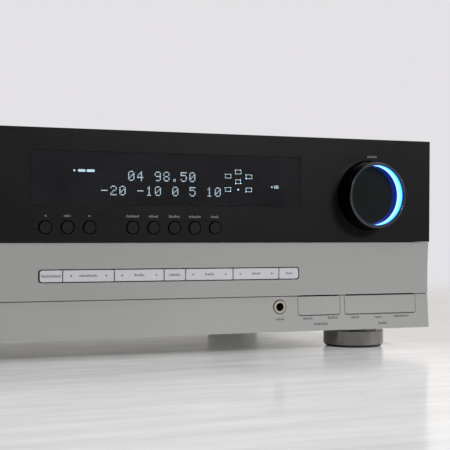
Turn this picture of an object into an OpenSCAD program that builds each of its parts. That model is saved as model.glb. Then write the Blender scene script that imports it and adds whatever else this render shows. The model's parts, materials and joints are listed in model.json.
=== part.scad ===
// Multichannel stereo receiver with a two-tone front, a lit volume knob and drop-down jack doors.
// Millimetres. +X right, +Y towards the rear, +Z up; the origin is under the middle, on the floor.

/* [Cabinet] */
// Width over the front panels
cabinet_w = 440; // [438:1:444]
// Height from the floor to the top edge of the black panel
cabinet_h = 165; // [163:1:168]
// Depth from the front of the volume knob to the ends of the speaker terminals
cabinet_d = 382; // [380:1:390]
// Thickness of the steel cover, chassis and rear panel
sheet = 1.2; // [0.8:0.1:1.5]
// Inset of the steel cover from the ends of the front panels
cover_inset = 1.5; // [1:0.5:3]

/* [Front panels] */
// Height of the line where the black panel meets the silver one
split_z = 84.5; // [83.5:0.5:85.5]
// Height of the groove across the silver panel
seam_z = 42.8; // [42.6:0.1:43.2]
// Depth of both panels, front to back
fascia_d = 24; // [24:0.5:25]
// Wall thickness of both panels
wall = 3; // [2.8:0.1:3.2]
// Depth of the shallow hollow curve of the silver panel
hollow = 2.5; // [2:0.1:2.8]

/* [Display] */
// Left end of the display window
window_x = -110.8; // [-115:1:-105]
// Width of the display window
window_w = 213.3; // [205:1:215]
// Bottom edge of the display window
window_z = 111; // [109:1:113]
// Height of the display window
window_h = 38.1; // [34:1:40]

/* [Volume knob] */
// Distance of the knob's centre to the right of the middle
knob_x = 162.3; // [158:1:166]
// Height of the knob's centre
knob_z = 121; // [118:1:124]
// Distance by which the knob stands out of the black panel
knob_proud = 15.6; // [14:0.2:17]
// Outer radius of the knob at its front
knob_r = 25.45; // [24.8:0.05:25.6]
// Depth of the glossy disc behind the knob's rim
knob_recess = 9.7; // [8.5:0.1:10.5]

/* [Round buttons] */
// Centre of the first round button
button_x = -100; // [-104:1:-96]
// Distance between neighbouring buttons
button_pitch = 16.3; // [15.5:0.1:16.4]
// Height of the button row
button_z = 95.1; // [94:0.5:97]
// Diameter of a button
button_dia = 8.7; // [8:0.1:9]

/* [Key row] */
// Left end of the key row
key_x = -103.4; // [-106:1:-100]
// Bottom edge of the key row
key_z = 56.7; // [56:0.1:57.2]
// Height of the keys
key_h = 8.1; // [7.6:0.1:8.4]
// Width given to a push key
push_w = 17; // [16:0.5:18]
// Width given to a rocker key
rocker_w = 38.6; // [37:0.5:39]

/* [Jacks and doors] */
// Centre of the headphone jack
phones_x = 85.85; // [82:1:88]
// Height of the headphone jack
phones_z = 35.2; // [34:0.5:36]
// Radius of the headphone jack's bore
phones_r = 3.2; // [3.2:0.05:3.3]
// Bottom edge of both jack doors
door_z = 28.2; // [28:0.1:29]

/* [Feet] */
// Distance of the feet from the middle
foot_x = 171.9; // [165:1:175]
// Radius of a foot
foot_r = 24.35; // [22:0.5:26]
// Distance of the front feet behind the black panel
foot_front = 37.3; // [35:1:42]
// Distance of the rear feet behind the black panel
foot_rear = 265; // [255:1:275]

/* [Rear] */
// Distance by which the speaker terminals stand out of the rear panel
post_proud = 19; // [18:0.5:20]
// Spacing of the speaker channels
post_pitch = 24; // [20:1:24]
// Radius of the banana plug bores
banana_r = 2.05; // [2:0.01:2.1]

/* [Hidden] */
$fn = 96;
ROUND_BUTTONS = ["set_left_button", "set_button", "set_right_button", "tone_mode_button", "speaker_button",
    "channel_button", "digital_select_button", "delay_button"];
KEYS = ["surround_mode_key", "surround_select_key", "tuning_key", "band_key", "preset_key", "source_key",
    "display_mode_key"];
CHANNELS = ["front_left", "front_right", "centre", "surround_left", "surround_right"];
POSTS = [for (c = CHANNELS) for (pole = ["plus", "minus"]) str(c, "_", pole, "_cap")];

half_w = cabinet_w / 2;
front_y = -cabinet_d / 2;
face_y = front_y + knob_proud;
fascia_back = face_y + fascia_d;
rear_y = cabinet_d / 2 - post_proud;
chassis_z = 16;
silver_z = chassis_z + 0.3;
cover_x = half_w - cover_inset;
cover_top = cabinet_h - 1;
panel_gap = 0.3;
run = 0.05;

// Colours
BLACK = [0.13, 0.13, 0.137];
SILVER = [0.6, 0.6, 0.584];
KEY_SILVER = [0.745, 0.745, 0.77];
STEEL = [0.62, 0.63, 0.64];
BOARD = [0.1, 0.3, 0.16];
DARK = [0.08, 0.08, 0.09];

// Depth of the silver panel's surface behind the black one, at height z
function curve(z) = z > 60 ? hollow - (z - 60) * (z - 60) * 1.1 / pow(split_z - 60, 2)
    : z > seam_z ? hollow
    : hollow - 2.2 * pow((seam_z - z) / (seam_z - silver_z), 1.3);

// ---- Helpers ----
module slab(x, y, z) translate([x[0], y[0], z[0]]) cube([x[1] - x[0], y[1] - y[0], z[1] - z[0]]);

module rod_x(x, y, z, r) translate([x[0], y, z]) rotate([0, 90, 0]) cylinder(r = r, h = x[1] - x[0]);

module rod_y(x, y, z, r, r_end = undef) translate([x, y[0], z]) rotate([-90, 0, 0])
    cylinder(r1 = r, r2 = is_undef(r_end) ? r : r_end, h = y[1] - y[0]);

module rod_z(x, y, z, r) translate([x, y, z[0]]) cylinder(r = r, h = z[1] - z[0]);

module ring_y(x, y, z, r, bore) difference() {
    rod_y(x, y, z, r);
    rod_y(x, [y[0] - 1, y[1] + 1], z, bore);
}

// Turns an outline of [radius, depth] points round a line along Y
module turned_y(x, z) translate([x, 0, z]) rotate([-90, 0, 0]) rotate_extrude() children();

// Carries an outline of [depth, height] points from x[0] to x[1]
module along_x(x) translate([x[0], 0, 0]) rotate([90, 0, 90]) linear_extrude(x[1] - x[0]) children();

// A block whose four edges along Y are round
module rounded_y(x, y, z, r) union() {
    slab([x[0] + r, x[1] - r], y, z);
    slab(x, y, [z[0] + r, z[1] - r]);
    for (px = [x[0] + r, x[1] - r], pz = [z[0] + r, z[1] - r]) rod_y(px, y, pz, r);
}

// A slot with round ends through a horizontal sheet, long side along Y
module vent(x, y, z, length, width) {
    slab([x - width / 2, x + width / 2], [y - length / 2, y + length / 2], z);
    for (end = [-1, 1]) rod_z(x, y + end * length / 2, z, width / 2);
}

// ---- Cabinet ----
vent_w = 3.4;
vent_l = 32;
vent_pitch = 8.5;
VENT_ROWS = [-95, -45, 5, 55, 105];

module top_cover() color(DARK) {
    lip = 12;
    front = fascia_back + panel_gap;
    back = rear_y + 1;
    difference() {
        slab([-cover_x, cover_x], [front, back], [chassis_z + 3, cover_top]);
        slab([sheet - cover_x, cover_x - sheet], [front - 1, back + 1], [0, cover_top - sheet]);
        for (y = VENT_ROWS, i = [-20:20])
            if (abs(i) > 1) vent(i * vent_pitch, y, [cover_top - 3, cover_top + 1], vent_l, vent_w);
        for (side = [-1, 1], y = [-100, 130])
            rod_x([side * half_w - 5, side * half_w + 5], y, 90, 2.1);
        for (side = [-1, 1], i = [0:11], row = [0, 1])
            slab([side * cover_x - 3, side * cover_x + 3], [i * 14 - 68, i * 14 - 60],
                [112 + row * 20, 126 + row * 20]);
    }
    // Folded lip along the top of the rear edge
    difference() {
        slab([lip - cover_x, cover_x - lip], [rear_y + 0.05, back],
            [cover_top - sheet - 6, cover_top - sheet]);
        for (x = [-200, -70, 70, 200]) rod_y(x, [rear_y - 1, back + 1], 158.5, 1.5);
    }
}

module cover_screws() color("black") {
    for (side = [-1, 1], y = [-100, 130]) {
        head = side > 0 ? [cover_x + 0.02, cover_x + 1.4] : [-cover_x - 1.4, -cover_x - 0.02];
        shank = side > 0 ? [cover_x - 9, cover_x + 0.02] : [-cover_x - 0.02, 9 - cover_x];
        difference() {
            union() {
                rod_x(head, y, 90, 4);
                rod_x(shank, y, 90, 2);
            }
            slab([side * (cover_x + 1.4) - 0.7, side * (cover_x + 1.4) + 0.7], [y - 3, y + 3], [89.5, 90.5]);
        }
    }
    for (x = [-200, -70, 70, 200]) difference() {
        union() {
            rod_y(x, [rear_y + 1.02, rear_y + 2.6], 158.5, 3.2);
            rod_y(x, [rear_y - 7, rear_y + 1.02], 158.5, 1.4);
        }
        slab([x - 2.4, x + 2.4], [rear_y + 2, rear_y + 3], [158.1, 158.9]);
    }
}

module bottom_chassis() color(STEEL) difference() {
    x = cover_x - sheet - 0.3;
    y = [fascia_back + panel_gap, rear_y - sheet - 0.1];
    union() {
        slab([-x, x], y, [chassis_z, chassis_z + sheet]);
        for (side = [-1, 1]) {
            slab(side > 0 ? [x - sheet, x] : [-x, sheet - x], y, [chassis_z, 100]);
            for (sy = [-100, 130])
                slab(side > 0 ? [x - 7, x - sheet] : [-x + sheet, 7 - x], [sy - 8, sy + 8], [82, 98]);
        }
        for (ry = [-60, 60]) slab([-96, 150], [ry - 4, ry + 4], [chassis_z + sheet, chassis_z + 3]);
    }
    for (side = [-1, 1], sy = [-100, 130]) rod_x([side * x - 11, side * x + 11], sy, 90, 2.1);
    for (side = [-1, 1], fy = [face_y + foot_front, face_y + foot_rear])
        rod_z(side * foot_x, fy, [0, 40], 2.3);
    for (i = [-9:9], row = [-20, 20]) vent(i * 12, row, [chassis_z - 1, chassis_z + 5], 24, 4);
}

module rear_panel() color(STEEL) difference() {
    x = cover_x - sheet - 0.3;
    slab([-x, x], [rear_y - sheet, rear_y], [chassis_z, cover_top - sheet - 0.3]);
    through = [rear_y - 4, rear_y + 1];
    for (g = JACK_GROUPS) rounded_y([g[0] - 6, g[0] + (g[2] - 1) * jack_pitch + 6], through,
        [g[1] - 6, g[1] + (g[3] - 1) * jack_pitch + 6], 1.5);
    rounded_y([post_x - 9, post_x + 4 * post_pitch + 9], through, [POST_Z[1] - 9, POST_Z[0] + 9], 2);
    rounded_y([inlet_x - 14.2, inlet_x + 14.2], through, [inlet_z - 10.2, inlet_z + 10.2], 1.5);
    rounded_y([tuner_x - 17, tuner_x + 17], through, [tuner_z - 7, tuner_z + 7], 1.5);
    for (i = [0:15], row = [0, 1])
        slab([-196 + i * 7, -192.5 + i * 7], through, [88 + row * 34, 114 + row * 34]);
    for (px = [-200, -70, 70, 200]) rod_y(px, through, 158.5, 1.5);
}

module front_subframe() color(DARK) {
    y = [fascia_back - 1.2, fascia_back];
    lug_y = [face_y + 7.5, fascia_back - 1.2];
    difference() {
        union() {
            slab([-half_w + wall + 0.5, half_w - wall - 0.5], y, [silver_z + 3, cabinet_h - wall - 0.5]);
            // Two rails carry the rocker keys' pivots
            for (z = [[key_z - 4.1, key_z - 2.1], [key_z + 10.3, key_z + 12.3]])
                slab([key_x - 2, key_x + 209], lug_y, z);
        }
        for (i = [1, 2, 4, 5]) rod_z(key_mid(i), pivot_y, [key_z - 8, key_z + 16], pivot_r + run);
        slab([phones_x - 10, half_w - 8], [face_y, fascia_back + 1], [silver_z + 6, 48]);
        rod_y(power_x, [face_y, fascia_back + 1], power_z, 5);
        for (x = [-150, -60, 30, 120]) slab([x, x + 60], [y[0] - 1, y[1] + 1], [100, 150]);
    }
}

// ---- Front panels ----
// Shallow step in both panels' meeting walls, where the subframe lies across them
module subframe_slot() slab([wall - half_w, half_w - wall], [fascia_back - 1.6, fascia_back + 1],
    [split_z - 3.5, split_z + 3]);

module fascia_upper() color(BLACK) {
    z = [split_z + 0.1, cabinet_h];
    bowl = [face_y + wall - 0.01, face_y + 7.5];
    difference() {
        union() {
            difference() {
                slab([-half_w, half_w], [face_y, fascia_back], z);
                slab([wall - half_w, half_w - wall], [face_y + wall, fascia_back + 1],
                    [z[0] + 2, z[1] - wall]);
            }
            rod_y(knob_x, bowl, knob_z, knob_r + 3.5);
            slab([window_x - 3, window_x + window_w + 3], [face_y + wall - 0.01, face_y + 4.2],
                [window_z - 3, window_z + window_h + 3]);
        }
        subframe_slot();
        rod_y(knob_x, [face_y - 1, face_y + 6], knob_z, 27);
        rod_y(knob_x, [face_y, face_y + 9], knob_z, 5.4);
        slab([window_x, window_x + window_w], [face_y - 1, face_y + 2.5], [window_z, window_z + window_h]);
        slab([window_x + 2, window_x + window_w - 2], [face_y, face_y + 6],
            [window_z + 2, window_z + window_h - 2]);
        for (i = BUTTON_PLACES)
            rod_y(button_x + i * button_pitch, [face_y - 1, face_y + 5], button_z, button_dia / 2 + 0.65);
        rod_y(power_x, [face_y - 1, face_y + 5], button_z, standby_r + 0.65);
        rod_y(power_x, [face_y - 1, face_y + 5], button_z + 12, 1.25);
    }
}

// The clear inside of a jack pocket, between two depths
module pocket_mouth(d, y)
    rounded_y([d[0] - 0.35, d[1] + 0.35], y, [door_z - 0.4, seam_z + 0.9], 2.4);

// The silver panel's section: its curved front, then straight round the back
module silver_section() {
    steps = 12;
    top = split_z - panel_gap;
    polygon(concat([for (i = [0:steps])
        let (z = silver_z + (top - silver_z) * i / steps) [face_y + curve(z), z]],
        [[fascia_back, top], [fascia_back, silver_z]]));
}

module fascia_lower() color(SILVER) difference() {
    inner_y = face_y + hollow + wall;
    union() {
        difference() {
            along_x([-half_w, half_w]) silver_section();
            slab([wall - half_w, half_w - wall], [inner_y, fascia_back + 1], [silver_z + 2.5, split_z - 2.5]);
        }
        rod_y(power_x, [inner_y - 0.5, inner_y + 4], power_z, 9.5);
    }
    subframe_slot();
    // Groove across the whole width
    slab([-half_w - 1, half_w + 1], [face_y - 1, face_y + hollow + 1.3], [seam_z, seam_z + 0.7]);
    rounded_y([key_x - 0.8, key_x + key_end(6) + 0.8], [face_y - 1, inner_y + 1],
        [key_z - 0.8, key_z + key_h + 0.8], 2.4);
    rod_y(phones_x, [face_y - 1, inner_y + 1], phones_z, 5.6);
    rod_y(power_x, [face_y - 1, inner_y + 5], power_z, power_r + 0.4);
    for (d = DOORS) {
        pocket_mouth(d, [face_y - 1, inner_y + 1]);
        rod_x([d[0] - 1.9, d[1] + 1.9], hinge_y, hinge_z, hinge_pin_r + run);
    }
}

module display_window() color([0.05, 0.06, 0.08]) {
    slab([window_x + 0.08, window_x + window_w - 0.08], [face_y, face_y + 2.4],
        [window_z + 0.08, window_z + window_h - 0.08]);
    slab([window_x + 2.1, window_x + window_w - 2.1], [face_y + 2.4, face_y + 3.4],
        [window_z + 2.1, window_z + window_h - 2.1]);
}

// ---- Feet ----
module each_foot() for (x = [-foot_x, foot_x], y = [face_y + foot_front, face_y + foot_rear])
    translate([x, y, 0]) children();

module feet() color([0.45, 0.45, 0.44]) each_foot() rotate_extrude()
    polygon([[2.3, 3.2], [foot_r - 3, 3.2], [foot_r - 3, 2], [foot_r - 0.5, 2], [foot_r, 2.5],
        [foot_r, 12.8], [foot_r - 0.6, 13.4], [18.5, 13.4], [18.5, chassis_z], [2.3, chassis_z]]);

module foot_pads() color("black") each_foot() rotate_extrude()
    polygon([[0, 0.8], [14, 0.8], [15, 0], [foot_r - 2.6, 0], [foot_r - 1.4, 1.2], [foot_r - 1.4, 1.9],
        [foot_r - 3.1, 1.9], [foot_r - 3.1, 3.1], [0, 3.1]]);

// ---- Volume knob ----
disc_y = front_y + knob_recess;
light_front = front_y + 1.4;
light_r = knob_r - 2.25;
glass_r = light_r - 0.05;
web_y = [disc_y + 2.5, disc_y + 4.5];
shaft_r = 3;
hub_r = 6;
hub_back = face_y + 5;

// A profile point at [radius, y], for turned_y
module volume_knob_ring() color([0.3, 0.3, 0.33]) turned_y(knob_x, knob_z)
    polygon([[light_r + 0.4, front_y], [knob_r - 0.5, front_y], [knob_r, front_y + 0.5],
        [26.4, face_y + 1], [24.4, face_y + 1], [24.4, web_y[1]], [hub_r + 0.05, web_y[1]],
        [hub_r + 0.05, web_y[0]], [light_r + 0.8, web_y[0]], [light_r + 0.8, light_front],
        [light_r, light_front], [light_r, front_y + 0.4]]);

module volume_knob_core() color("black") turned_y(knob_x, knob_z)
    polygon([[0, disc_y], [glass_r, disc_y], [glass_r, web_y[0]], [hub_r, web_y[0]],
        [hub_r, hub_back], [shaft_r, hub_back], [shaft_r, web_y[0]], [0, web_y[0]]]);

module volume_light_ring() color([0.4, 0.85, 1]) turned_y(knob_x, knob_z)
    polygon([[light_r, light_front], [light_r + 0.78, light_front], [light_r + 0.78, web_y[0]],
        [light_r, web_y[0]]]);

encoder_y = [face_y + 9, face_y + 15.9];

module encoder_shaft() color("silver") difference() {
    rod_y(knob_x, [web_y[0], encoder_y[1] - 2], knob_z, shaft_r);
    slab([knob_x - 0.5, knob_x + 0.5], [encoder_y[1] - 4, encoder_y[1]], [knob_z - 4, knob_z + 4]);
}

module volume_encoder() color("silver") difference() {
    union() {
        slab([knob_x - 6.5, knob_x + 6.5], encoder_y, [knob_z - 6.5, knob_z + 6.5]);
        rod_y(knob_x, [hub_back + 0.5, encoder_y[0]], knob_z, 4.6);
    }
    rod_y(knob_x, [hub_back - 1, encoder_y[1] - 1.5], knob_z, shaft_r + run);
}

// ---- Buttons ----
BUTTON_PLACES = [0, 1, 2, 4, 5, 6, 7, 8];
standby_r = 5;
power_x = -190;
power_z = 35.2;
power_r = 7;
button_travel = 0.6;
power_travel = 3;
mains_switch_y = -112;

// A button that stands out of a hole, with a collar behind the panel and a stem to its switch
module push_button(x, z, r) {
    front = face_y - 0.9;
    rod_y(x, [front, front + 0.4], z, r - 0.4, r);
    rod_y(x, [front + 0.4, face_y + wall + 0.3], z, r);
    rod_y(x, [face_y + wall + 0.3, face_y + wall + 1.5], z, r + 1.3);
    rod_y(x, [face_y + wall + 1.5, switch_y - button_travel - 0.4], z, 2);
}

module round_button(i) color(BLACK)
    push_button(button_x + BUTTON_PLACES[i] * button_pitch, button_z, button_dia / 2);

module standby_button() color(BLACK) push_button(power_x, button_z, standby_r);

module power_button() color(KEY_SILVER) {
    front = face_y + curve(power_z) - 2.4;
    rod_y(power_x, [front, front + 0.6], power_z, power_r - 0.6, power_r);
    rod_y(power_x, [front + 0.6, face_y + 8], power_z, power_r);
}

module power_pushrod() color("white") {
    end = mains_switch_y - power_travel - 1;
    rod_y(power_x, [face_y + 8, end - 2], power_z, 3);
    slab([power_x - 4.5, power_x + 4.5], [end - 2, end], [power_z - 4.5, power_z + 4.5]);
}

// ---- Key row ----
pivot_y = face_y + 9.5;
pivot_r = 1.2;
key_gap = 0.8;
key_front = face_y + hollow - 0.5;
key_back = face_y + hollow + wall + 0.9;
rocker_reach = 14;
function key_w(i) = i == 0 || i == 3 || i == 6 ? push_w : rocker_w;
function key_end(i) = i < 0 ? 0 : key_end(i - 1) + key_w(i);
function key_mid(i) = key_x + key_end(i) - key_w(i) / 2;

module key_cap(i) {
    x = [key_mid(i) - key_w(i) / 2 + key_gap / 2, key_mid(i) + key_w(i) / 2 - key_gap / 2];
    z = [key_z, key_z + key_h];
    // Only the row's two outer ends have round corners
    intersection() {
        slab(x, [key_front, key_back], z);
        rounded_y([x[0] - (i == 0 ? 0 : 4), x[1] + (i == 6 ? 0 : 4)], [key_front, key_back], z, 2);
    }
    slab([x[0] + 0.5, x[1] - 0.5], [key_back - 0.01, key_back + 1], [z[0] - 1.5, z[1] + 1.5]);
}

module push_key(i) {
    key_cap(i);
    rod_y(key_mid(i), [key_back + 0.9, switch_y - button_travel - 0.4], key_z + key_h / 2, 2);
}

module rocker_key(i) {
    x = key_mid(i);
    key_cap(i);
    slab([x - 2.2, x + 2.2], [key_back + 0.9, pivot_y + 2], [key_z - 1.5, key_z + key_h + 1.5]);
    for (side = [-1, 1])
        rod_y(x + side * rocker_reach, [key_back + 0.9, switch_y - 0.8], key_z + key_h / 2, 2);
    rod_z(x, pivot_y, [key_z - 3.9, key_z + 12.1], pivot_r);
}

module bar_key(i) color(KEY_SILVER) if (key_w(i) == rocker_w) rocker_key(i); else push_key(i);

// ---- Doors ----
DOORS = [[101.8, 138.6], [143, 208]];
door_t = 2;
hinge_pin_r = 0.8;
hinge_z = door_z + 2.4;
hinge_y = face_y + curve(hinge_z) + 1.1;
pocket_y = face_y + 20;
jack_row_z = 37.4;

module jack_door(d) color(SILVER) {
    foot = door_z + 0.5;
    top = seam_z - 0.2;
    heights = [for (i = [0:5]) foot + (top - foot) * i / 5];
    intersection() {
        union() {
            // The lower edge is bevelled, so that it clears the opening as the door drops
            along_x([d[0] + 0.05, d[1] - 0.05]) polygon(concat(
                [[face_y + curve(foot) + door_t, door_z], [face_y + curve(foot) + 0.5, door_z]],
                [for (z = heights) [face_y + curve(z), z]],
                [for (i = [5:-1:0]) [face_y + curve(heights[i]) + door_t, heights[i]]]));
            rod_x([d[0] + 0.05, d[1] - 0.05], hinge_y, hinge_z, 1);
        }
        rounded_y([d[0], d[1]], [face_y - 5, face_y + 20], [door_z, seam_z + 8], 2.2);
    }
    for (x = [[d[0] - 1.4, d[0] + 3], [d[1] - 3, d[1] + 1.4]]) rod_x(x, hinge_y, hinge_z, hinge_pin_r);
}

module digital_input_door() jack_door(DOORS[0]);
module video_input_door() jack_door(DOORS[1]);

// ---- Front jacks ----
rca_r = 4.15;
rca_l = 8.5;
rca_bore = 1.7;
// Centre and radius of each jack behind the doors
FRONT_JACKS = [[111, rca_r], [129, 5], [154, 6], [171, rca_r], [184, rca_r], [197, rca_r]];

module headphone_jack() color([0.78, 0.75, 0.68]) difference() {
    union() {
        rod_y(phones_x, [face_y + 1.6, face_y + 8], phones_z, 4.9);
        slab([phones_x - 7.5, phones_x + 7.5], [face_y + 8, face_y + 40], [phones_z - 7.5, phones_z + 7.5]);
    }
    rod_y(phones_x, [face_y, face_y + 36], phones_z, phones_r);
}

module front_input_jacks() color(DARK) {
    back = pocket_y + 12;
    nose = pocket_y - rca_l;
    // Each pocket is a sleeve that meets the panel's back, closed by the plate that its jacks stand in
    for (d = DOORS) {
        difference() {
            rounded_y([d[0] - 2, d[1] + 2], [face_y + hollow + wall + 0.05, pocket_y],
                [door_z - 2, seam_z + 2.5], 2);
            pocket_mouth(d, [face_y, pocket_y + 1]);
        }
        difference() {
            rounded_y([d[0] - 2, d[1] + 2], [pocket_y + 0.05, pocket_y + 1.95],
                [door_z - 2, seam_z + 2.5], 2);
            for (j = FRONT_JACKS)
                if (j[0] > d[0] && j[0] < d[1])
                    rod_y(j[0], [pocket_y - 1, pocket_y + 3], jack_row_z, j[1] + 0.4);
        }
    }
    for (j = FRONT_JACKS) difference() {
        union() {
            rod_y(j[0], [j[1] == rca_r ? nose : pocket_y - 2, pocket_y + 3], jack_row_z, j[1]);
            rod_y(j[0], [pocket_y, pocket_y + 3], jack_row_z, j[1] + 0.3);
            slab([j[0] - 6, j[0] + 6], [pocket_y + 2, back], [jack_row_z - 7, jack_row_z + 7]);
        }
        if (j[1] == rca_r) rod_y(j[0], [nose - 1, nose + 12], jack_row_z, rca_bore);
        if (j[1] == 6) ring_y(j[0], [pocket_y - 3, pocket_y + 6], jack_row_z, 5.2, 4.2);
        if (j[1] == 5) rounded_y([j[0] - 3.5, j[0] + 3.5], [pocket_y - 3, pocket_y + 8],
            [jack_row_z - 3, jack_row_z + 3], 0.8);
    }
}

// ---- Front electronics ----
switch_y = face_y + 11;
board_y = [face_y + 16, face_y + 17.6];

module tact_switch(x, z) {
    slab([x - 3, x + 3], [board_y[0] - 3.6, board_y[0]], [z - 3, z + 3]);
    rod_y(x, [switch_y, board_y[0] - 3.6], z, 1.7);
}

module front_control_board() color(BOARD) {
    slab([-205, 205], board_y, [button_z - 7, 158]);
    slab([key_x, key_x + 206], board_y, [key_z - 1.5, key_z + 9.5]);
    for (i = BUTTON_PLACES) tact_switch(button_x + i * button_pitch, button_z);
    tact_switch(power_x, button_z);
    for (i = [0:6]) {
        if (key_w(i) == push_w) tact_switch(key_mid(i), key_z + key_h / 2);
        if (key_w(i) == rocker_w) for (side = [-1, 1])
            tact_switch(key_mid(i) + side * rocker_reach, key_z + key_h / 2);
    }
    // Standby lamp
    rod_y(power_x, [face_y + 3.5, board_y[0]], button_z + 12, 1.5);
}

module vfd_display() color([0.1, 0.12, 0.14]) {
    slab([window_x + 6, window_x + window_w - 6], [face_y + 8, face_y + 13.5],
        [window_z + 3, window_z + window_h - 3]);
    for (x = [window_x + 20, window_x + window_w - 20])
        slab([x - 4, x + 4], [face_y + 13.5, board_y[0]], [window_z + 8, window_z + window_h - 8]);
}

// ---- Power supply and amplifier ----
module power_transformer() color([0.35, 0.33, 0.3]) {
    x = [-200, -108];
    y = [-72, 8];
    z = [chassis_z + sheet, 96];
    difference() {
        slab(x, y, z);
        for (wx = [[x[0] + 14, x[0] + 31], [x[1] - 31, x[1] - 14]])
            slab(wx, [y[0] - 1, y[1] + 1], [z[0] + 14, z[1] - 14]);
    }
    // Windings wrap the middle limb and show at both faces
    for (side = [[y[0] - 16, y[0]], [y[1], y[1] + 16]])
        rounded_y([x[0] + 15, x[1] - 15], side, [z[0] + 15, z[1] - 15], 6);
    for (fx = [x[0] - 8, x[1]]) slab([fx, fx + 8], [-52, -12], [z[0], z[0] + 2]);
}

module filter_capacitors() color([0.1, 0.12, 0.3]) for (x = [-72, -30]) {
    rod_z(x, -60, [27.6, 84], 17.5);
    rod_z(x, -60, [84, 85], 15);
}

module power_supply_board() color(BOARD) {
    z = [26, 27.6];
    slab([-100, 0], [-105, -20], z);
    for (x = [-92, -8], y = [-97, -28]) rod_z(x, y, [chassis_z + sheet, z[0]], 3);
    slab([-22, -2], [-100, -94], [z[1], 48]);
    for (x = [-90, -80]) rod_x([x - 3, x + 3], -96, z[1] + 4, 3.5);
    for (x = [-70, -55, -40]) rod_z(x, -95, [z[1], z[1] + 16], 6);
    // Mains switch behind the power button
    slab([power_x - 8, power_x + 8], [mains_switch_y, mains_switch_y + 16], [chassis_z + sheet, power_z + 8]);
}

HEATSINK_X = [-104, 150];
HEATSINK_Y = [24, 68];

module heatsink() color([0.5, 0.5, 0.52]) {
    z = [40, 142];
    fins = 30;
    step = (HEATSINK_X[1] - HEATSINK_X[0] - 2) / (fins - 1);
    slab(HEATSINK_X, [HEATSINK_Y[0], HEATSINK_Y[0] + 6], z);
    for (i = [0:fins - 1])
        slab([HEATSINK_X[0] + i * step, HEATSINK_X[0] + i * step + 2],
            [HEATSINK_Y[0] + 5.9, HEATSINK_Y[1]], z);
    for (x = [HEATSINK_X[0] + 20, HEATSINK_X[1] - 28])
        slab([x, x + 8], HEATSINK_Y, [chassis_z + 3, z[0] + 0.1]);
}

module power_transistors() color("black") for (i = [0:9]) {
    x = HEATSINK_X[0] + 14 + i * 25;
    y = HEATSINK_Y[0];
    difference() {
        slab([x - 8, x + 8], [y - 5, y], [66, 86]);
        rod_y(x, [y - 6, y + 1], 81, 1.6);
    }
    for (lead = [-5.4, 0, 5.4]) slab([x + lead - 0.6, x + lead + 0.6], [y - 2.8, y - 2], [57.6, 66]);
}

module amplifier_board() color(BOARD) {
    z = [56, 57.6];
    slab([-104, 150], [-14, HEATSINK_Y[0] - 1], z);
    for (i = [0:9]) {
        x = HEATSINK_X[0] + 14 + i * 25;
        rod_z(x - 7, 2, [z[1], z[1] + 13], 5);
        slab([x + 2, x + 9], [-8, 6], [z[1], z[1] + 9]);
    }
    for (x = [-96, 142], y = [-8, 16]) rod_z(x, y, [chassis_z + 3, z[0]], 3);
}

module main_board() color(BOARD) {
    z = [90, 91.6];
    slab([-20, 208], [78, 150], z);
    for (x = [20, 70, 120, 170]) slab([x - 12, x + 12], [96, 120], [z[1], z[1] + 2.6]);
    for (x = [0:20:200]) rod_z(x, 138, [z[1], z[1] + 9], 4);
    slab([-10, 60], [80, 86], [z[1], z[1] + 8]);
    for (x = [-14, 202], y = [84, 144]) rod_z(x, y, [chassis_z + sheet, z[0]], 3);
}

// ---- Rear ----
jack_pitch = 13;
// Each group of phono jacks: first x, first z, columns, rows
JACK_GROUPS = [[114, 30, 8, 2], [44, 30, 4, 2], [-24, 30, 4, 2], [130, 74, 6, 1], [78, 74, 3, 3],
    [44, 74, 2, 3], [130, 100, 6, 1], [-24, 74, 4, 1]];

module rear_signal_jacks() color(DARK) for (g = JACK_GROUPS) difference() {
    x1 = g[0] + (g[2] - 1) * jack_pitch;
    z1 = g[1] + (g[3] - 1) * jack_pitch;
    union() {
        slab([g[0] - 6.4, x1 + 6.4], [rear_y - 14, rear_y - sheet - 0.05], [g[1] - 6.4, z1 + 6.4]);
        rounded_y([g[0] - 5.9, x1 + 5.9], [rear_y - 2, rear_y + 1.5], [g[1] - 5.9, z1 + 5.9], 1.5);
        for (i = [0:g[2] - 1], k = [0:g[3] - 1])
            rod_y(g[0] + i * jack_pitch, [rear_y + 1, rear_y + 1.5 + rca_l], g[1] + k * jack_pitch, rca_r);
    }
    for (i = [0:g[2] - 1], k = [0:g[3] - 1])
        rod_y(g[0] + i * jack_pitch, [rear_y - 2, rear_y + 12], g[1] + k * jack_pitch, rca_bore);
}

post_x = -152;
POST_Z = [64, 38];
stud_r = 3;
stud_end = rear_y + 14;
cap_r = 6.6;
cap_y = [rear_y + 5.5, cabinet_d / 2];

// A moulded base, and ten bored studs through it, each a separate piece
module speaker_terminals() {
    x = [post_x - 8.8, post_x + 4 * post_pitch + 8.8];
    front = rear_y + 3;
    color(DARK) difference() {
        union() {
            slab([x[0] - 4, x[1] + 4], [rear_y + 0.02, front], [POST_Z[1] - 12, POST_Z[0] + 12]);
            rounded_y(x, [rear_y - 8, rear_y + 1], [POST_Z[1] - 8.8, POST_Z[0] + 8.8], 2);
            for (i = [0:4], z = POST_Z) rod_y(post_x + i * post_pitch, [front - 1, front + 1], z, 5);
        }
        for (i = [0:4], z = POST_Z)
            rod_y(post_x + i * post_pitch, [rear_y - 9, front + 2], z, stud_r + run);
    }
    color([0.75, 0.65, 0.4]) for (i = [0:4], z = POST_Z) difference() {
        rod_y(post_x + i * post_pitch, [rear_y - 12, stud_end], z, stud_r);
        rod_y(post_x + i * post_pitch, [front + 1.2, stud_end + 1], z, banana_r);
    }
}

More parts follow.
